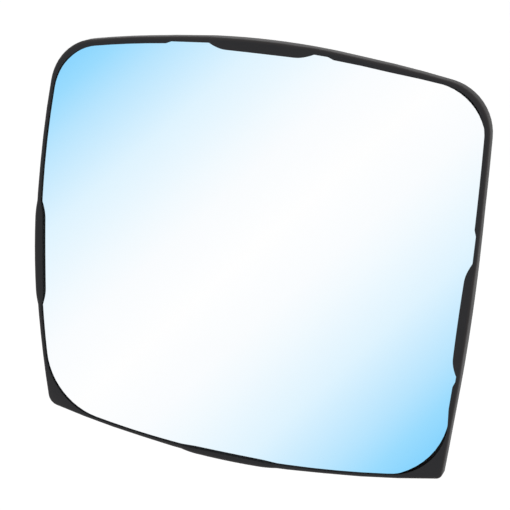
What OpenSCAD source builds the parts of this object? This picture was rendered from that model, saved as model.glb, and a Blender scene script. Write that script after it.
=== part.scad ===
// Door mirror glass: a convex mirror pane bonded into a moulded holder.
// The moulding plane is XY with the mirror towards +Z and up along +Y.
// The finished part is turned upright: mirror towards -Y, up along +Z,
// with the origin in the middle of the mouth of the rear collar.

/* [Outline] */
// Distance between the two upper corner points
top_w = 191.1; // [170:1:210]
// Distance from the upright centre line to the lower left corner point
bottom_left_w = 96; // [85:0.1:105]
// Distance from the upright centre line to the lower right corner point
bottom_right_w = 91.4; // [80:0.1:100]
// Height of the upper left corner point above the collar axis
top_left_h = 83.9; // [75:0.1:95]
// Height of the upper right corner point above the collar axis
top_right_h = 84.7; // [75:0.1:95]
// Depth of the lower right corner point below the collar axis
bottom_right_h = 79.9; // [70:0.1:90]
// Depth of the lower left corner point below the collar axis
bottom_left_h = 84.2; // [75:0.1:95]
// Bow of the upper side
top_bow = 10.8; // [8:0.1:16]
// Bow of the right side
right_bow = 2.7; // [2:0.1:8]
// Bow of the lower side
bottom_bow = 9.2; // [6:0.1:14]
// Bow of the left side
left_bow = 7.5; // [4:0.1:12]
// Outside radius of the upper left corner
top_left_r = 23.2; // [18:0.1:30]
// Outside radius of the upper right corner
top_right_r = 22; // [16:0.1:28]
// Outside radius of the lower right corner
bottom_right_r = 2.8; // [2.5:0.1:6]
// Outside radius of the lower left corner
bottom_left_r = 5.5; // [4:0.1:8]

/* [Mirror pane] */
// Radius of the convex mirror face
mirror_r = 1400; // [1000:10:2000]
// Thickness of the glass
glass_t = 2; // [1.6:0.1:3]
// Width of the ground chamfer round both faces of the glass
edge_grind = 0.35; // [0.2:0.05:0.6]
// Radius of the upper left corner of the glass
glass_top_left_r = 29.5; // [24:0.1:34]
// Radius of the upper right corner of the glass
glass_top_right_r = 24.2; // [20:0.1:30]
// Radius of the lower right corner of the glass
glass_bottom_right_r = 34.8; // [28:0.1:42]
// Radius of the lower left corner of the glass
glass_bottom_left_r = 33.6; // [27:0.1:41]

/* [Bonding pad] */
// Thickness of the adhesive foam sheet
pad_t = 0.8; // [0.5:0.1:1.5]
// Distance from the edge of the glass to the edge of the foam sheet
pad_inset = 6; // [5.5:0.5:15]

/* [Rim] */
// Wall between the pocket and the outside, upper side
top_wall = 1.8; // [1.8:0.1:4]
// Wall between the pocket and the outside, left and right sides
side_wall = 1.25; // [1:0.05:3]
// Wall between the pocket and the outside, lower side
bottom_wall = 0.9; // [0.8:0.1:2]
// Clearance between the glass and the wall round it
edge_gap = 0.2; // [0.15:0.05:0.5]
// How far the lip round the front of the pocket reaches over the glass
lip_reach = 0.8; // [0.5:0.05:1]
// Radius of the upper left corner of the pocket
pocket_top_left_r = 25; // [20:0.1:30]
// Radius of the upper right corner of the pocket
pocket_top_right_r = 20.6; // [16:0.1:28]
// Radius of the lower right corner of the pocket
pocket_bottom_right_r = 29; // [23:0.1:36]
// Radius of the lower left corner of the pocket
pocket_bottom_left_r = 31; // [24:0.1:38]
// How far the rim stands in front of the mirror face
rim_rise = 0.8; // [0.6:0.1:1.2]
// Depth of the outer wall behind the mirror face
rim_depth = 6.5; // [6:0.1:10]
// Thickness of the wall behind the plate
skirt_t = 2.2; // [2:0.1:3]
// Radius on the front outer edge of the rim
front_r = 1.6; // [0.6:0.1:1.7]
// Radius on the rear outer edge of the rim
rear_r = 1.5; // [0.8:0.1:1.6]
// Radius on the inner edge of the lip and of the tabs
lip_r = 0.25; // [0.1:0.05:0.35]
// Thickness of the face of the two lower corner webs
web_t = 2; // [1.5:0.1:3]
// Wall of the pocket beside the hollows of the lower corner webs
web_wall = 1.6; // [1:0.1:2.5]

/* [Retaining tabs] */
// Length of the upper and the lower tab along the rim, with their sloping ends
tab_len = 46; // [30:1:56]
// Length of the two side tabs along the rim, with their sloping ends
side_tab_len = 49; // [30:1:56]
// Length of each sloping end
tab_slope = 8; // [4:0.5:9]
// How far the upper and the side tabs reach inwards past the lip, at their ends
tab_reach = 1.3; // [1:0.1:3]
// How far the lower tab reaches inwards past the lip, at its ends
bottom_tab_reach = 0; // [0:0.1:3]
// How much further each tab reaches in its middle
tab_crown = 0.5; // [0:0.1:1]
// How far the outer edge of each tab stands in front of the mirror face
tab_rise = 2; // [1.4:0.1:3]
// How far the inner edge of each tab stands in front of the mirror face
tab_edge = 1.3; // [1:0.1:2]
// How far the rim swells outwards at the upper and the lower tab
swell = 0.65; // [0:0.05:1]
// How far the rim swells outwards at the two side tabs
side_swell = 0.4; // [0:0.05:1]
// Place of the upper tab, right of the centre line
top_tab_x = -0.3; // [-20:0.1:20]
// Place of the right tab, above the collar axis
right_tab_y = -4.6; // [-12:0.1:20]
// Place of the lower tab, right of the centre line
bottom_tab_x = -6; // [-20:0.1:20]
// Place of the left tab, above the collar axis
left_tab_y = -9.5; // [-16:0.1:20]
// Length of the break in the lip to the left of the upper tab
top_left_break = 20; // [4:0.5:24]
// Length of the break in the lip to the right of the upper tab
top_right_break = 8.5; // [4:0.5:20]
// Length of the break in the lip above the right tab
right_upper_break = 14; // [4:0.5:20]
// Length of the break in the lip below the right tab
right_lower_break = 5; // [4:0.5:12]
// Width of the opening in the plate behind each tab
window_w = 4; // [3:0.1:5]

/* [Backing plate] */
// Thickness of the plate behind the foam sheet
plate_t = 2; // [1.6:0.1:3]
// Number of ribs that run out from the collar
rib_count = 12; // [4:4:12]
// Thickness of each rib
rib_t = 1.6; // [1.2:0.1:2.4]
// Height of the ribs behind the plate
rib_h = 4; // [2:0.5:7]
// Distance from the outside of the rim to the ends of the ribs
rib_inset = 9; // [8:0.5:20]
// Radius of the ring rib, to its middle
ring_rib_r = 62; // [50:1:68]

/* [Collar and snap fingers] */
// Inside diameter of the collar that centres the part
collar_d = 62; // [50:0.5:66]
// Wall of the collar
collar_wall = 2.2; // [1.6:0.1:3]
// Distance from the middle of the mirror face to the mouth of the collar
collar_reach = 16; // [14:0.5:20]
// Chamfer round the outside of the collar's mouth
collar_chamfer = 0.6; // [0.2:0.1:1]
// Width of the notch that keys the collar against turning
key_w = 6; // [3:0.5:10]
// Depth of the key notch from the mouth of the collar
key_depth = 5; // [2:0.5:7]
// Number of snap fingers round the collar
finger_count = 4; // [2:2:4]
// Space between the collar and the inside of the fingers
finger_space = 5.8; // [4:0.1:8]
// Width of each finger
finger_w = 9; // [5:0.5:12]
// Thickness of each finger
finger_t = 1.8; // [1.2:0.1:2.5]
// Thickness of the hub flange that the fingers hold on the collar
flange_t = 1.8; // [1:0.1:3]
// How far the barb of each finger reaches inwards
barb = 1.2; // [0.6:0.1:2]
// Length of the lead-in slope from the barb to the tip of each finger
barb_slope = 2.2; // [1.5:0.1:4]
// Reach of the gusset behind each finger
gusset = 4.5; // [2:0.5:6]

/* [Hidden] */

// Clearance between bonded curved faces, and play under the lip and the tabs
bond_gap = 0.05;
tab_play = 0.1;
// Height of the sloping underside between the pocket wall and the lip
lip_draft = 0.1;
// Small overlap that joins one shape to the next, and overrun of cutting shapes
lap = 0.5;
over = 1;
// Facets of the large spheres and of the turned shapes
sphere_facets = 360;
turned_facets = 96;
// Steps along each stretch of a side and round each corner
run_steps = 4;
slope_steps = 8;
tab_steps = 5;
corner_steps = 12;
// Steps round the front, rear and inner edges of the rim, in degrees
edge_step = 22.5;
// Length over which each break in the lip comes in
break_slope = 2.5;
// Half the length of each stretch over which the rim swells
swell_run = 44;
// Least flat between the two roundings of the rim's face, and least outside radius
least_flat = 0.15;
least_r = 0.4;
// Depth in the plate at which the wall behind it begins, as a share of the plate
skirt_seat = 0.7;
// Shoulder left between the rim wall and each opening in the plate
window_ledge = 0.3;
// Height of the shapes that cut right through the part
cut_h = 6 * collar_reach;
// Direction of the first snap finger
finger_turn = 45;
// Flat at the tip of each finger and height of its gusset, as shares
tip_share = 1 / 3;
gusset_share = 0.7;

// Corner points clockwise from the upper left, and the side after each
corner_pts = [[-top_w / 2, top_left_h], [top_w / 2, top_right_h],
              [bottom_right_w, -bottom_right_h], [-bottom_left_w, -bottom_left_h]];
bows = [top_bow, right_bow, bottom_bow, left_bow];
outer_radii = [top_left_r, top_right_r, bottom_right_r, bottom_left_r];
glass_radii = [glass_top_left_r, glass_top_right_r, glass_bottom_right_r, glass_bottom_left_r];
pocket_radii = [pocket_top_left_r, pocket_top_right_r, pocket_bottom_right_r, pocket_bottom_left_r];
walls = [top_wall, side_wall, bottom_wall, side_wall];
// The lip is broken beside the upper and the right tab, and fades out at the far ends
// of these two sides
lip_broken = [true, true, false, false];
break_before = [top_left_break, right_upper_break, 2 * break_slope, 2 * break_slope];
break_after = [top_right_break, right_lower_break, 2 * break_slope, 2 * break_slope];
tab_halves = [tab_len, side_tab_len, tab_len, side_tab_len] / 2;
reach_by_side = [tab_reach, tab_reach, bottom_tab_reach, tab_reach];
tab_mids = [[top_tab_x, 0], [0, right_tab_y], [bottom_tab_x, 0], [0, left_tab_y]];

glass_insets = [for (w = walls) w + edge_gap];
plate_front = glass_t + pad_t + 2 * bond_gap;
plate_back = plate_front + plate_t;

// Height above the moulding plane of a surface h in front of the mirror face
function lift(p, h) = [p.x, p.y, sqrt(pow(mirror_r + h, 2) - p.x * p.x - p.y * p.y) - mirror_r];

// Circle of a side that bows out between two corner points
function side_circle(k) =
    let (p = corner_pts[k], q = corner_pts[(k + 1) % 4], d = q - p, c = norm(d), b = bows[k],
         r = (c * c / 4 + b * b) / (2 * b), out = [-d.y, d.x] / c)
    [(p + q) / 2 - out * (r - b), r];
circles = [for (k = [0 : 3]) side_circle(k)];

// Meeting point of two circles that lies nearest to a given point
function meet(c1, r1, c2, r2, near) =
    let (v = c2 - c1, d = norm(v), a = (r1 * r1 - r2 * r2 + d * d) / (2 * d),
         h = sqrt(max(0, r1 * r1 - a * a)), m = c1 + v * a / d, n = [-v.y, v.x] / d,
         p = m + n * h, q = m - n * h)
    norm(p - near) < norm(q - near) ? p : q;

// Centre of the rounding at corner k, for sides moved inwards by insets
function round_centre(k, insets, radii) =
    let (j = (k + 3) % 4)
    meet(circles[j][0], circles[j][1] - insets[j] - radii[k],
         circles[k][0], circles[k][1] - insets[k] - radii[k], corner_pts[k]);

function heading(v) = atan2(v.y, v.x);
// The same direction, given as less than another, because the outline runs clockwise
function below(a, limit) =
    a > limit ? below(a - 360, limit) : (a <= limit - 360 ? below(a + 360, limit) : a);
function steps(a, b, n) = [for (i = [0 : n - 1]) a + (b - a) * i / n];

// Directions from the side's centre at which its tab and the breaks beside it begin and end
function tab_marks(k) =
    let (c = circles[k], mid = heading(tab_mids[k] - c[0]), deg = 180 / PI / c[1],
         h = tab_halves[k], a = h + break_before[k], b = h + break_after[k])
    [for (s = [a, a - break_slope, h, h - tab_slope]) mid + s * deg,
     for (s = [h - tab_slope, h, b - break_slope, b]) mid - s * deg];

// Directions of all stations along side k, between the roundings at its ends
function side_angles(k, insets, radii) =
    let (c = circles[k][0], m0 = tab_marks(k),
         a0 = below(heading(round_centre(k, insets, radii) - c), m0[0] + 180),
         a1 = below(heading(round_centre((k + 1) % 4, insets, radii) - c), a0))
    concat(steps(a0, m0[0], run_steps), [m0[0], m0[1]], steps(m0[2], m0[3], slope_steps),
           steps(m0[3], m0[4], tab_steps), steps(m0[4], m0[5], slope_steps), [m0[5], m0[6]],
           steps(m0[7], a1, run_steps), [a1]);

function corner_angles(k, insets, radii) =
    let (f = round_centre(k, insets, radii), a0 = heading(f - circles[(k + 3) % 4][0]),
         a1 = below(heading(f - circles[k][0]), a0))
    [for (i = [1 : corner_steps - 1]) a0 + (a1 - a0) * i / corner_steps];

function on_arc(c, r, angles) = [for (a = angles) let (n = [cos(a), sin(a)]) [c + r * n, n]];

// Whole outline as points with their outward directions
function outline(insets, radii) = [
    for (k = [0 : 3]) each concat(
        on_arc(circles[k][0], circles[k][1] - insets[k], side_angles(k, insets, radii)),
        let (n = (k + 1) % 4)
        on_arc(round_centre(n, insets, radii), radii[n], corner_angles(n, insets, radii)))];

// Outline parallel to the outside of the rim
function rim_outline(d) = outline([d, d, d, d], [for (r = outer_radii) max(r - d, least_r)]);
// Outlines of the glass and of its pocket, moved inwards by d
function glass_outline(d) = outline([for (i = glass_insets) i + d], [for (r = glass_radii) r - d]);
function pocket_outline(d) = outline([for (w = walls) w + d], [for (r = pocket_radii) r - d]);
function flat(line) = [for (q = line) q[0]];

// Rise of a sloping end: steep at its start and level where it meets the tab
function ease(t) = 1 - pow(1 - t, 2);
// How far the tab has risen at each station, from 0 to 1
tab_share = [for (k = [0 : 3]) each concat(
    [for (i = [0 : run_steps + 1]) 0],
    [for (i = [0 : slope_steps - 1]) ease(i / slope_steps)],
    [for (i = [0 : tab_steps - 1]) 1],
    [for (i = [0 : slope_steps - 1]) ease(1 - i / slope_steps)],
    [for (i = [0 : run_steps + 2]) 0],
    [for (i = [1 : corner_steps - 1]) 0])];
// How far the rim swells at each station
swell_at = [for (k = [0 : 3])
    let (c = circles[k], mid = heading(tab_mids[k] - c[0]), most = k % 2 == 0 ? swell : side_swell)
    each concat(
        [for (a = side_angles(k, [0, 0, 0, 0], outer_radii))
            most * max(0, 1 - pow((a - mid) * PI / 180 * c[1] / swell_run, 2))],
        [for (i = [1 : corner_steps - 1]) 0])];
// Width of the rounding on the front outer edge: where the lip is broken the wall
// alone has to hold it
lip_full = edge_gap + lip_reach;
edge_w = [for (k = [0 : 3])
    min(front_r, walls[k] - lip_r - least_flat + (lip_broken[k] ? 0 : lip_full))];
edge_at = [for (k = [0 : 3]) let (w = edge_w[k], next = edge_w[(k + 1) % 4])
    each concat(
        [for (i = [1 : len(tab_share) / 4 - corner_steps + 1]) w],
        [for (i = [1 : corner_steps - 1]) w + (next - w) * i / corner_steps])];
// How far the lip stands in from the pocket wall at each station
lip_at = [for (k = [0 : 3])
    let (b = lip_broken[k])
    each concat(
        [for (i = [0 : run_steps]) lip_full],
        [for (i = [0 : 2 * slope_steps + tab_steps + 2]) lip_full - (b ? lip_reach : 0)],
        [for (i = [0 : run_steps - 2]) lip_full],
        b ? [lip_full / 2, 0] : [lip_full, lip_full],
        [for (i = [1 : corner_steps - 1]) b ? lip_full * i / corner_steps : lip_full])];
// How far the full tab reaches past the lip at each station
reach_at = [for (k = [0 : 3])
    let (flat_share = 1 - tab_slope / tab_halves[k])
    each concat(
        [for (i = [0 : run_steps + 1]) 0],
        [for (u = concat(steps(1, flat_share, slope_steps), steps(flat_share, -flat_share, tab_steps),
                         steps(-flat_share, -1, slope_steps)))
            reach_by_side[k] + tab_crown * (1 - u * u)],
        [for (i = [0 : run_steps + corner_steps + 1]) 0])];

// Shifts an outline outwards, station by station, and lifts it to its heights
function shaped(line, shift, height) =
    [for (i = [0 : len(line) - 1]) lift(line[i][0] + line[i][1] * shift[i], height[i])];
function level(h) = [for (w = tab_share) h];
// Height of the rim's face at each station, for the height that it has at a full tab
function face_top(full) = [for (w = tab_share) rim_rise + (full - rim_rise) * w];

// Closed solid skinned over rings that form a loop round its section
module ring_loft(rings) {
    m = len(rings);
    n = len(rings[0]);
    polyhedron(
        points = [for (r = rings) each r],
        faces = [for (i = [0 : m - 1]) for (j = [0 : n - 1])
            let (a = i * n + j, b = i * n + (j + 1) % n,
                 c = ((i + 1) % m) * n + (j + 1) % n, d = ((i + 1) % m) * n + j)
            each [[a, b, c], [a, c, d]]],
        convexity = 10);
}

// Ball whose surface lies h in front of the mirror face, its poles at the sides
module mirror_ball(h) {
    translate([0, 0, -mirror_r]) rotate([0, 90, 0]) sphere(r = mirror_r + h, $fn = sphere_facets);
}

// Prism that runs right through the part from front to back
module through() {
    translate([0, 0, -cut_h / 2]) linear_extrude(height = cut_h) children();
}

// Layer between two depths behind the mirror face, cut to an outline
module layer(line, front, back) {
    intersection() {
        through() polygon(flat(line));
        difference() {
            mirror_ball(-front);
            mirror_ball(-back);
        }
    }
}

module mirror_glass_body() {
    // section of the cutter: how far outside the edge, and how far in front of the face
    cut = [[edge_grind, edge_grind], [edge_grind, -2 * edge_grind], [-2 * edge_grind, edge_grind]];
    difference() {
        layer(glass_outline(0), 0, glass_t);
        // front chamfer
        ring_loft([for (q = cut) shaped(glass_outline(0), level(q.x), level(q.y))]);
        // rear chamfer
        ring_loft([for (q = [cut[0], cut[2], cut[1]])
            shaped(glass_outline(0), level(q.x), level(-glass_t - q.y))]);
    }
}

module bonding_pad_body() {
    layer(glass_outline(pad_inset), glass_t + bond_gap, glass_t + bond_gap + pad_t);
}

// Rim with its lip and its four tabs: one section skinned round the whole outline
module rim() {
    stations = [0 : len(tab_share) - 1];
    // how far the lip or the tab stands in from the pocket wall
    inwards = [for (i = stations)
        lip_at[i] + (lip_full + reach_at[i] - lip_at[i]) * tab_share[i]];
    turns = [0 : edge_step : 90];
    rear = [for (a = turns) [rear_r * (1 - sin(a)), -rim_depth + rear_r * (1 - cos(a))]];
    outer_top = face_top(tab_rise);
    inner_top = face_top(tab_edge);
    ring_loft(concat(
        [shaped(rim_outline(skirt_t), level(0), level(-rim_depth))],
        [for (q = rear) shaped(rim_outline(q.x), swell_at, level(q.y))],
        [for (a = turns) shaped(rim_outline(0),
            [for (i = stations) swell_at[i] - edge_at[i] * (1 - cos(a))],
            [for (i = stations) outer_top[i] - front_r * (1 - sin(a))])],
        [for (a = turns) shaped(pocket_outline(0),
            [for (i = stations) lip_r * (1 - sin(a)) - inwards[i]],
            [for (i = stations) inner_top[i] - lip_r * (1 - cos(a))])],
        [shaped(pocket_outline(0), -inwards, level(tab_play + lip_draft))],
        [shaped(pocket_outline(0), level(0), level(tab_play))],
        [shaped(pocket_outline(0), level(0), level(-plate_front - plate_t / 2))],
        [shaped(rim_outline(skirt_t), level(0), level(-plate_front - plate_t * skirt_seat))]));
}

// Hollows behind the two lower corner webs
module web_cores() {
    intersection() {
        through() difference() {
            polygon(flat(rim_outline(skirt_t - lap / 2)));
            polygon(flat(pocket_outline(-web_wall)));
        }
        mirror_ball(rim_rise - web_t);
    }
}

// Opening in the plate behind the tab of side k
module tab_window(k) {
    marks = tab_marks(k);
    c = circles[k];
    r1 = c[1] - max(walls[k], skirt_t) - window_ledge;
    r2 = r1 - window_w;
    angles = concat(steps(marks[2], marks[5], slope_steps), [marks[5]]);
    outer = [for (a = angles) c[0] + r1 * [cos(a), sin(a)]];
    inner = [for (i = [slope_steps : -1 : 0]) c[0] + r2 * [cos(angles[i]), sin(angles[i])]];
    mouth = lift(outer[slope_steps / 2], -glass_t)[2];
    translate([0, 0, mouth - cut_h]) linear_extrude(height = cut_h) polygon(concat(outer, inner));
}

module plate() {
    difference() {
        layer(rim_outline(bottom_wall / 2), plate_front, plate_back);
        for (k = [0 : 3]) tab_window(k);
    }
}

// Ribs on the back of the plate, cut to follow its curve
module ribs() {
    collar_mid = collar_d / 2 + collar_wall / 2;
    intersection() {
        layer(rim_outline(rib_inset), plate_back - lap, plate_back + rib_h);
        translate([0, 0, -cut_h / 2]) union() {
            for (i = [0 : rib_count - 1]) rotate(i * 360 / rib_count)
                translate([collar_mid, -rib_t / 2, 0]) cube([top_w, rib_t, cut_h]);
            difference() {
                cylinder(r = ring_rib_r + rib_t / 2, h = cut_h, $fn = turned_facets);
                translate([0, 0, -over])
                    cylinder(r = ring_rib_r - rib_t / 2, h = cut_h + 2 * over, $fn = turned_facets);
            }
        }
    }
}

module collar() {
    root = plate_front + plate_t / 2;
    h = collar_reach - root;
    outside_d = collar_d + 2 * collar_wall;
    translate([0, 0, -collar_reach]) difference() {
        union() {
            cylinder(d1 = outside_d - 2 * collar_chamfer, d2 = outside_d, h = collar_chamfer,
                     $fn = turned_facets);
            translate([0, 0, collar_chamfer])
                cylinder(d = outside_d, h = h - collar_chamfer, $fn = turned_facets);
        }
        translate([0, 0, -over]) cylinder(d = collar_d, h = h + 2 * over, $fn = turned_facets);
        translate([-key_w / 2, 0, -over]) cube([key_w, collar_d, key_depth + over]);
    }
}

// Snap finger with its barb and its gusset, pointing back from the plate
module finger() {
    face = collar_d / 2 + collar_wall + finger_space;
    root = -plate_front - plate_t / 2;
    catch = -collar_reach - flange_t;
    tip = catch - barb_slope - lap;
    rotate([90, 0, 0]) translate([0, 0, -finger_w / 2]) linear_extrude(height = finger_w) polygon([
        [face, root], [face + finger_t, root], [face + finger_t, tip],
        [face + finger_t * tip_share, tip], [face - barb, catch - lap], [face - barb, catch],
        [face, catch + barb * tip_share]]);
    rotate([90, 0, 0]) translate([0, 0, -rib_t / 2]) linear_extrude(height = rib_t) polygon([
        [face + finger_t / 2, root], [face + finger_t + gusset, root],
        [face + finger_t / 2, root - (collar_reach + root) * gusset_share]]);
}

module mirror_holder_body() {
    difference() {
        union() {
            rim();
            plate();
        }
        web_cores();
    }
    ribs();
    collar();
    for (i = [0 : finger_count - 1]) rotate(finger_turn + i * 360 / finger_count) finger();
}

// Turns the moulding plane upright and sets the origin in the collar's mouth
module upright() {
    translate([0, -collar_reach, 0]) rotate([90, 0, 0]) children();
}

module mirror_glass() { color("lightskyblue") upright() mirror_glass_body(); }
module bonding_pad() { color("dimgray") upright() bonding_pad_body(); }
module mirror_holder() { color("#2b2a2c") upright() mirror_holder_body(); }

mirror_glass();
bonding_pad();
mirror_holder();
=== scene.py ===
"""Looks of a door mirror glass: the silvered pane, its foam sheet and the moulded holder."""
import logging
import math
from dataclasses import dataclass
from enum import Enum
from typing import Sequence

import bpy
from mathutils import Matrix, Vector


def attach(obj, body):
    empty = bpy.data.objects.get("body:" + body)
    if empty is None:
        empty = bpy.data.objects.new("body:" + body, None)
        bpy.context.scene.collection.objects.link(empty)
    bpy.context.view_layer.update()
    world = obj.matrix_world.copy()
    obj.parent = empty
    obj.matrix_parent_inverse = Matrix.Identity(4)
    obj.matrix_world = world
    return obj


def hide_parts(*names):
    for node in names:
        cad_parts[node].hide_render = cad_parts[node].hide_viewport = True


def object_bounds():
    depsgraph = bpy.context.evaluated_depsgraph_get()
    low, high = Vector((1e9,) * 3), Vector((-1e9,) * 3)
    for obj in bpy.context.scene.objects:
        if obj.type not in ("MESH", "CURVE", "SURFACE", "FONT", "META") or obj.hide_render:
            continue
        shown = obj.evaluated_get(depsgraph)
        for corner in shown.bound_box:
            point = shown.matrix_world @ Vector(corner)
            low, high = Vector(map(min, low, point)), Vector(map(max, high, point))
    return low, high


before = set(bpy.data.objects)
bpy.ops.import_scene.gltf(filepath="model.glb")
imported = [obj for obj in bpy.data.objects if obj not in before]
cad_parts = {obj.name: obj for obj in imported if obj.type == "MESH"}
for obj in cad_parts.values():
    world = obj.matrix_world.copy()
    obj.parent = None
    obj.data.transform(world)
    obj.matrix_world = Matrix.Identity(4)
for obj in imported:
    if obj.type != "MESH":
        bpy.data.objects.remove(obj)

LOG = logging.getLogger("mirror")
CAD_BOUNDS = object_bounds()
MM = 0.001
BODY = "root"
WHITE = (1.0, 1.0, 1.0, 1.0)

# The mirror face is part of a ball, and bulges most on the collar's axis at this Y
MIRROR_RADIUS = 1400 * MM
POLE_Y = -16 * MM

# The grey of a noise texture lies mostly between these two levels
NOISE_LOW = 0.3
NOISE_HIGH = 0.7
BROAD_DETAIL = 4.0
FINE_DETAIL = 3.0
# Share by which the roughness of a finish changes over its surface
ROUGHNESS_SPREAD = 0.1


class Side(Enum):
    """Which way a face of the pane looks."""

    FRONT = 0
    EDGE = 1
    BACK = 2


class Graph:
    """A material's or a world's node tree, with short calls to add and join nodes."""

    def __init__(self, tree: bpy.types.NodeTree) -> None:
        """Empties the tree."""
        self.tree = tree
        tree.nodes.clear()

    def node(self, kind: str, values: dict | None = None, **settings) -> bpy.types.Node:
        """Adds a node.

        Args:
            kind: Blender's name for the node's type.
            values: Input sockets by name or number, each a plain value or an output socket.
            settings: Properties of the node.

        Returns:
            The new node.
        """
        made = self.tree.nodes.new(kind)
        for name, value in settings.items():
            setattr(made, name, value)
        for name, value in (values or {}).items():
            if isinstance(value, bpy.types.NodeSocket):
                self.tree.links.new(value, made.inputs[name])
            else:
                made.inputs[name].default_value = value
        return made

    def ramp(self, factor: bpy.types.NodeSocket, stops: Sequence) -> bpy.types.NodeSocket:
        """Adds a colour ramp.

        Args:
            factor: The socket that drives it.
            stops: Places and colours, lowest first.

        Returns:
            The ramp's colour output.
        """
        made = self.node("ShaderNodeValToRGB", {0: factor})
        line = made.color_ramp.elements
        while len(line) < len(stops):
            line.new(1.0)
        for element, (place, colour) in zip(line, stops):
            element.position = place
            element.color = (*colour, 1.0)
        return made.outputs[0]

    def ray_kinds(self) -> tuple:
        """Tells the rays apart that reach this shader.

        Returns:
            A socket that is 1 for camera rays, and one that is 1 for mirrored and refracted rays.
        """
        paths = self.node("ShaderNodeLightPath").outputs
        deflected = self.node("ShaderNodeMath", {
            0: paths["Is Glossy Ray"], 1: paths["Is Transmission Ray"]}, operation="MAXIMUM")
        return paths["Is Camera Ray"], deflected.outputs[0]

    def noise(self, scale: float, detail: float, coord: bpy.types.NodeSocket) -> bpy.types.NodeSocket:
        """Adds a noise texture and returns its grey output."""
        made = self.node("ShaderNodeTexNoise", {"Scale": scale, "Detail": detail, "Vector": coord})
        return made.outputs[0]


@dataclass(frozen=True)
class Finish:
    """A surface finish with its plain values.

    Mottle is the share by which the colour changes, and the scales count cells in a metre.
    """

    name: str
    colour: tuple
    roughness: float
    metallic: float = 0.0
    specular: float = 0.5
    mottle: float = 0.08
    mottle_scale: float = 60.0
    grain: float = 0.0
    grain_scale: float = 3000.0
    grain_depth: float = 0.03 * MM

    def make(self) -> bpy.types.Material:
        """Builds the material.

        Returns:
            A material whose colour and roughness vary over the surface, with a fine grain.
        """
        material = bpy.data.materials.new(self.name)
        material.use_nodes = True
        graph = Graph(material.node_tree)
        coord = graph.node("ShaderNodeTexCoord").outputs["Object"]
        broad = graph.noise(self.mottle_scale, BROAD_DETAIL, coord)
        low = tuple(c * (1 - self.mottle) for c in self.colour)
        high = tuple(min(1.0, c * (1 + self.mottle)) for c in self.colour)
        colour = graph.ramp(broad, [(NOISE_LOW, low), (NOISE_HIGH, high)])
        rough = graph.node("ShaderNodeMapRange", {
            "Value": broad, "From Min": NOISE_LOW, "From Max": NOISE_HIGH,
            "To Min": self.roughness * (1 - ROUGHNESS_SPREAD),
            "To Max": self.roughness * (1 + ROUGHNESS_SPREAD)}).outputs[0]
        values = {"Base Color": colour, "Roughness": rough, "Metallic": self.metallic,
                  "Specular IOR Level": self.specular}
        if self.grain:
            fine = graph.noise(self.grain_scale, FINE_DETAIL, coord)
            bump = graph.node("ShaderNodeBump", {
                "Strength": self.grain, "Distance": self.grain_depth, "Height": fine})
            values["Normal"] = bump.outputs[0]
        shader = graph.node("ShaderNodeBsdfPrincipled", values)
        graph.node("ShaderNodeOutputMaterial", {"Surface": shader.outputs[0]})
        return material


SILVERING = Finish("silvered_face", (0.996, 0.997, 0.998), 0.012, metallic=1.0, mottle=0.002,
                   mottle_scale=25.0)
GROUND_EDGE = Finish("ground_glass_edge", (0.42, 0.47, 0.47), 0.32, metallic=0.6, mottle=0.15,
                     mottle_scale=400.0, grain=0.3)
BACK_PAINT = Finish("mirror_back_paint", (0.16, 0.17, 0.18), 0.5, mottle=0.1)
BLACK_MOULDING = Finish("grained_black_moulding", (0.0212, 0.018, 0.0183), 0.5, specular=0.22,
                        mottle=0.12, grain=0.35)
# Darker, duller black for the pocket's inward walls: painted shade for the recess between the lip and the
# pane, not a finish of its own
POCKET_PAINTED_SHADE = Finish("pocket_wall_painted_shade", (0.008, 0.0072, 0.0074), 0.6, specular=0.08,
                     mottle=0.1)
FOAM = Finish("adhesive_foam", (0.05, 0.05, 0.055), 0.85, mottle=0.2, mottle_scale=900.0, grain=0.8,
              grain_scale=1500.0)


def ball_y(x: float, z: float) -> float:
    """Returns the depth of the mirror face at a place."""
    return POLE_Y + MIRROR_RADIUS - math.sqrt(MIRROR_RADIUS ** 2 - x * x - z * z)


def turn(first: tuple, middle: tuple, last: tuple) -> float:
    """Returns twice the area of a triangle of points, above zero where it turns left."""
    return ((middle[0] - first[0]) * (last[1] - first[1])
            - (middle[1] - first[1]) * (last[0] - first[0]))


def half_outline(points: list, least_turn: float = 1e-10) -> list:
    """Walks along points and keeps those that a tight string round them would touch.

    Args:
        points: Places in order of x, or in the opposite order for the other half.
        least_turn: Turns smaller than this, in square metres, count as straight.

    Returns:
        The points of one half of the outline, without its last one.
    """
    line: list = []
    for point in points:
        while len(line) > 1 and turn(line[-2], line[-1], point) <= least_turn:
            line.pop()
        line.append(point)
    return line[:-1]


def outer_line(node: str, digits: int = 6) -> list:
    """Finds the convex outline of a CAD node seen from the front.

    Args:
        node: Name of the node.
        digits: Decimal places of a metre that tell two points apart.

    Returns:
        The outline as (x, z) points in order.
    """
    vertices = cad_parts[node].data.vertices
    seen = sorted({(round(v.co.x, digits), round(v.co.z, digits)) for v in vertices})
    return half_outline(seen) + half_outline(seen[::-1])


def deselect() -> None:
    """Leaves nothing selected, in object mode."""
    if bpy.context.object and bpy.context.object.mode != "OBJECT":
        bpy.ops.object.mode_set(mode="OBJECT")
    bpy.ops.object.select_all(action="DESELECT")


def pick(piece: bpy.types.Object) -> None:
    """Makes one piece the only one selected."""
    deselect()
    piece.select_set(True)
    bpy.context.view_layer.objects.active = piece


def modify(piece: bpy.types.Object, kind: str, **settings) -> None:
    """Adds a modifier to a piece and applies it.

    Args:
        piece: The piece to change.
        kind: Blender's name for the modifier's type.
        settings: Properties of the modifier.
    """
    pick(piece)
    added = piece.modifiers.new(kind.lower(), kind)
    for name, value in settings.items():
        setattr(added, name, value)
    bpy.ops.object.modifier_apply(modifier=added.name)


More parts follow.
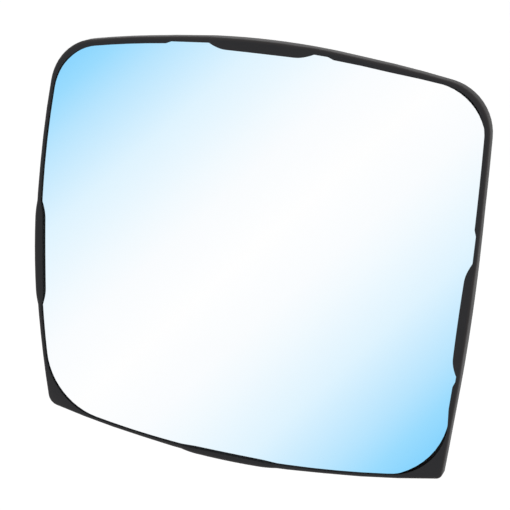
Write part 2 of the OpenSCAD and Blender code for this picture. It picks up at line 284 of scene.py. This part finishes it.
def smooth(piece: bpy.types.Object, degrees: float) -> None:
    """Shades a piece smooth, apart from edges sharper than an angle."""
    pick(piece)
    bpy.ops.object.shade_smooth_by_angle(angle=math.radians(degrees))


def report(piece: bpy.types.Object) -> None:
    """Logs a finished piece and its number of faces."""
    LOG.info("%s: %d faces", piece.name, len(piece.data.polygons))


@dataclass
class MirrorPane:
    """The convex glass pane with its silvered face and ground edges."""

    thickness: float = 2 * MM
    edge_grind: float = 0.35 * MM
    # Edges sharper than this are ground, and edges sharper than the crease show as edges
    grind_degrees: float = 50.0
    crease_degrees: float = 25.0
    sheet_size: float = 230 * MM
    sheet_steps: int = 110
    prism_depth: float = 60 * MM
    prism_start_radius: float = 100 * MM
    # A face whose normal has this share of Y or more belongs to the front or to the back
    facing_share: float = 0.95

    def prism(self) -> bpy.types.Object:
        """Extrudes the outline of the pane into a block.

        Returns:
            The block that cuts the pane out of a sheet.
        """
        line = outer_line("mirror_glass")
        deselect()
        bpy.ops.mesh.primitive_circle_add(vertices=len(line), radius=self.prism_start_radius,
                                          fill_type="NGON")
        block = bpy.context.object
        for vertex, (x, z) in zip(block.data.vertices, line):
            vertex.co = (x, -self.prism_depth / 2, z)
        bpy.ops.object.mode_set(mode="EDIT")
        bpy.ops.mesh.select_all(action="SELECT")
        bpy.ops.mesh.extrude_region_move(TRANSFORM_OT_translate={"value": (0, self.prism_depth, 0)})
        bpy.ops.mesh.select_all(action="SELECT")
        bpy.ops.mesh.normals_make_consistent(inside=False)
        bpy.ops.object.mode_set(mode="OBJECT")
        return block

    def build(self) -> bpy.types.Object:
        """Bulges a sheet to the mirror's radius, gives it thickness and cuts it to the outline.

        Returns:
            The finished pane.
        """
        block = self.prism()
        deselect()
        bpy.ops.mesh.primitive_grid_add(x_subdivisions=self.sheet_steps, y_subdivisions=self.sheet_steps,
                                        size=self.sheet_size, rotation=(math.pi / 2, 0, 0))
        bpy.ops.object.transform_apply(location=True, rotation=True, scale=True)
        pane = bpy.context.object
        pane.name = "mirror_pane"
        for vertex in pane.data.vertices:
            vertex.co.y = ball_y(vertex.co.x, vertex.co.z)
        modify(pane, "SOLIDIFY", thickness=self.thickness, offset=-1.0)
        modify(pane, "BOOLEAN", operation="INTERSECT", object=block, solver="EXACT")
        bpy.data.objects.remove(block)
        modify(pane, "BEVEL", width=self.edge_grind, segments=1, limit_method="ANGLE",
               angle_limit=math.radians(self.grind_degrees))
        smooth(pane, self.crease_degrees)
        self.dress(pane)
        return pane

    def dress(self, pane: bpy.types.Object) -> None:
        """Gives each face of the pane the finish of its side.

        Args:
            pane: The cut and ground pane.
        """
        for finish in (SILVERING, GROUND_EDGE, BACK_PAINT):
            pane.data.materials.append(finish.make())
        for face in pane.data.polygons:
            side = Side.EDGE
            if face.normal.y < -self.facing_share:
                side = Side.FRONT
            elif face.normal.y > self.facing_share:
                side = Side.BACK
            face.material_index = side.value
        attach(pane, BODY)
        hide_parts("mirror_glass")


@dataclass
class Holder:
    """The black moulding that carries the pane."""

    weld: float = 0.004 * MM
    crease_degrees: float = 32.0
    # Faces that look inwards by this share, down to this depth behind the mirror face, are the pocket's,
    # and get painted shade
    inward_share: float = 0.75
    pocket_depth: float = 3 * MM

    def build(self) -> bpy.types.Object:
        """Copies the frame's moulding, welds its mesh and shades its rounded faces smooth.

        Returns:
            The finished moulding.
        """
        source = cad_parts["mirror_holder"]
        piece = bpy.data.objects.new("holder_moulding", source.data.copy())
        bpy.context.scene.collection.objects.link(piece)
        pick(piece)
        bpy.ops.mesh.customdata_custom_splitnormals_clear()
        bpy.ops.object.mode_set(mode="EDIT")
        bpy.ops.mesh.select_all(action="SELECT")
        bpy.ops.mesh.remove_doubles(threshold=self.weld)
        bpy.ops.object.mode_set(mode="OBJECT")
        smooth(piece, self.crease_degrees)
        self.dress(piece)
        return piece

    def dress(self, piece: bpy.types.Object) -> None:
        """Gives the moulding its grain, and the walls of the pocket a darker, duller black that is
        painted shade.

        Args:
            piece: The welded moulding.
        """
        piece.data.materials.clear()
        for finish in (BLACK_MOULDING, POCKET_PAINTED_SHADE):
            piece.data.materials.append(finish.make())
        for face in piece.data.polygons:
            x, y, z = face.center
            inward = -(face.normal.x * x + face.normal.z * z) / math.hypot(x, z)
            # Inward faces near the mirror face get the darker black, painted shade for the recess
            in_painted_shade = inward > self.inward_share and y - ball_y(x, z) < self.pocket_depth
            face.material_index = int(in_painted_shade)
        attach(piece, BODY)
        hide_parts("mirror_holder")


@dataclass
class FoamSheet:
    """The adhesive foam behind the pane, which keeps its CAD shape."""

    node: str = "bonding_pad"

    def build(self) -> bpy.types.Object:
        """Gives the CAD node its finish.

        Returns:
            The node's own object.
        """
        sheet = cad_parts[self.node]
        sheet.data.materials.clear()
        sheet.data.materials.append(FOAM.make())
        return sheet


@dataclass(frozen=True)
class Lamp:
    """A square soft lamp aimed at the part."""

    name: str
    place: tuple
    power: float
    size: float = 0.8

    def hang(self) -> None:
        """Adds the lamp to the scene."""
        light = bpy.data.lights.new(self.name, "AREA")
        light.size = self.size
        light.energy = self.power
        stand = bpy.data.objects.new(self.name, light)
        stand.location = self.place
        stand.rotation_euler = (-Vector(self.place)).to_track_quat("-Z", "Y").to_euler()
        bpy.context.scene.collection.objects.link(stand)


@dataclass
class Studio:
    """Floor, lamps and surroundings."""

    floor_drop: float = 300 * MM
    floor_size: float = 40.0
    floor_colour: tuple = (0.9, 0.9, 0.9, 1.0)
    # Added to the floor where the camera sees it
    floor_glow: float = 0.34
    # Direction across the pale band that the pane reflects, its offset, and its middle to its edge
    band_across: tuple = (0.7412, -0.0208, -0.6709)
    band_offset: float = 0.0361
    band_reach: float = 0.36
    # The band lies in front: full where a direction's Y is below the first value, gone above the second
    band_front: tuple = (-0.66, -0.5)
    # Places in the band, from its white middle to its blue edge, with their colours
    band_colours: tuple = (
        (0.0, (1.0, 1.0, 1.0)),
        (0.2, (0.957, 0.98, 1.0)),
        (0.31, (0.893, 0.96, 1.0)),
        (0.51, (0.742, 0.903, 1.0)),
        (0.72, (0.482, 0.786, 0.995)),
        (0.83, (0.325, 0.714, 0.995)),
        (0.91, (0.25, 0.663, 0.99)),
    )
    # Level of the even light on matt surfaces
    world_level: float = 0.75
    lamps: tuple = (
        Lamp("key", (-0.7, -1.0, 1.1), 1.0),
        Lamp("low", (1.0, -1.1, -0.3), 1.2),
        Lamp("rear", (-0.4, 1.1, 0.9), 1.0),
    )

    def floor(self) -> bpy.types.Object:
        """Lays a pale floor that mirrors and clear things see through to the surroundings.

        Returns:
            The floor.
        """
        deselect()
        low = CAD_BOUNDS[0].z - self.floor_drop
        bpy.ops.mesh.primitive_plane_add(size=self.floor_size, location=(0, 0, low))
        bpy.ops.object.transform_apply(location=True, rotation=True, scale=True)
        floor = bpy.context.object
        floor.name = "studio_floor"
        material = bpy.data.materials.new("studio_floor")
        material.use_nodes = True
        graph = Graph(material.node_tree)
        camera_ray, deflected = graph.ray_kinds()
        matt = graph.node("ShaderNodeBsdfDiffuse", {"Color": self.floor_colour}).outputs[0]
        glow = graph.node("ShaderNodeMath", {0: camera_ray, 1: self.floor_glow},
                          operation="MULTIPLY").outputs[0]
        shine = graph.node("ShaderNodeEmission", {"Strength": glow}).outputs[0]
        plain = graph.node("ShaderNodeAddShader", {0: matt, 1: shine}).outputs[0]
        clear = graph.node("ShaderNodeBsdfTransparent").outputs[0]
        mixed = graph.node("ShaderNodeMixShader", {0: deflected, 1: plain, 2: clear}).outputs[0]
        graph.node("ShaderNodeOutputMaterial", {"Surface": mixed})
        floor.data.materials.append(material)
        return floor

    def surroundings(self) -> None:
        """Sets the world: white to the camera, even to matt surfaces, white with a soft band to gloss."""
        world = bpy.data.worlds.new("studio")
        bpy.context.scene.world = world
        world.use_nodes = True
        graph = Graph(world.node_tree)
        ray = graph.node("ShaderNodeTexCoord").outputs["Generated"]
        across = graph.node("ShaderNodeVectorMath", {0: ray, 1: self.band_across},
                            operation="DOT_PRODUCT").outputs["Value"]
        place = graph.node("ShaderNodeMath", {0: across, 1: self.band_offset}, operation="ADD").outputs[0]
        folded = graph.node("ShaderNodeMath", {0: place, 1: self.band_reach},
                            operation="PINGPONG").outputs[0]
        share = graph.node("ShaderNodeMath", {0: folded, 1: self.band_reach},
                           operation="DIVIDE").outputs[0]
        sky = graph.ramp(share, self.band_colours)
        camera_ray, deflected = graph.ray_kinds()
        even = graph.node("ShaderNodeBackground", {
            "Color": WHITE, "Strength": self.world_level}).outputs[0]
        axes = graph.node("ShaderNodeSeparateXYZ", {0: ray}).outputs
        front = graph.node("ShaderNodeMapRange", {
            "Value": axes["Y"], "From Min": self.band_front[0], "From Max": self.band_front[1],
            "To Min": 1.0, "To Max": 0.0}).outputs[0]
        band = graph.node("ShaderNodeBackground", {"Color": sky, "Strength": 1.0}).outputs[0]
        white = graph.node("ShaderNodeBackground", {"Color": WHITE, "Strength": 1.0}).outputs[0]
        gloss = graph.node("ShaderNodeMixShader", {0: front, 1: white, 2: band}).outputs[0]
        lit = graph.node("ShaderNodeMixShader", {0: deflected, 1: even, 2: gloss}).outputs[0]
        shown = graph.node("ShaderNodeMixShader", {0: camera_ray, 1: lit, 2: white}).outputs[0]
        graph.node("ShaderNodeOutputWorld", {"Surface": shown})

    def build(self) -> None:
        """Sets the surroundings, lays the floor and hangs the lamps."""
        self.surroundings()
        self.floor()
        for lamp in self.lamps:
            lamp.hang()


@dataclass
class PhotoCamera:
    """The camera at the photograph's place, with its angles in degrees."""

    azimuth: float = 20.0
    elevation: float = 17.0
    roll: float = 3.66
    distance: float = 600 * MM
    focal_pixels: float = 1422.5
    frame_pixels: int = 510
    sensor_width: float = 36.0
    aim: tuple = (3.35 * MM, POLE_Y, 5.97 * MM)

    def make(self) -> bpy.types.Object:
        """Sets the camera.

        Returns:
            The camera object, made the scene's own.
        """
        a, e, roll = (math.radians(v) for v in (self.azimuth, self.elevation, self.roll))
        back = Vector((math.sin(a) * math.cos(e), -math.cos(a) * math.cos(e), math.sin(e)))
        right = Vector((math.cos(a), math.sin(a), 0.0))
        up = back.cross(right)
        turned_right = math.cos(roll) * right + math.sin(roll) * up
        turned_up = math.cos(roll) * up - math.sin(roll) * right
        data = bpy.data.cameras.new("photo_camera")
        data.sensor_width = self.sensor_width
        data.lens = self.focal_pixels / self.frame_pixels * data.sensor_width
        camera = bpy.data.objects.new("photo_camera", data)
        axes = Matrix((turned_right, turned_up, back)).transposed().to_4x4()
        camera.matrix_world = Matrix.Translation(Vector(self.aim) + back * self.distance) @ axes
        bpy.context.scene.collection.objects.link(camera)
        bpy.context.scene.camera = camera
        return camera


def main() -> None:
    """Sets the camera and the studio, then builds the pieces in order."""
    logging.basicConfig(level=logging.INFO, format="%(message)s")
    bpy.context.scene.view_settings.view_transform = "Standard"
    PhotoCamera().make()
    Studio().build()
    for part in (MirrorPane(), Holder(), FoamSheet()):
        report(part.build())


if __name__ == "__main__":
    main()
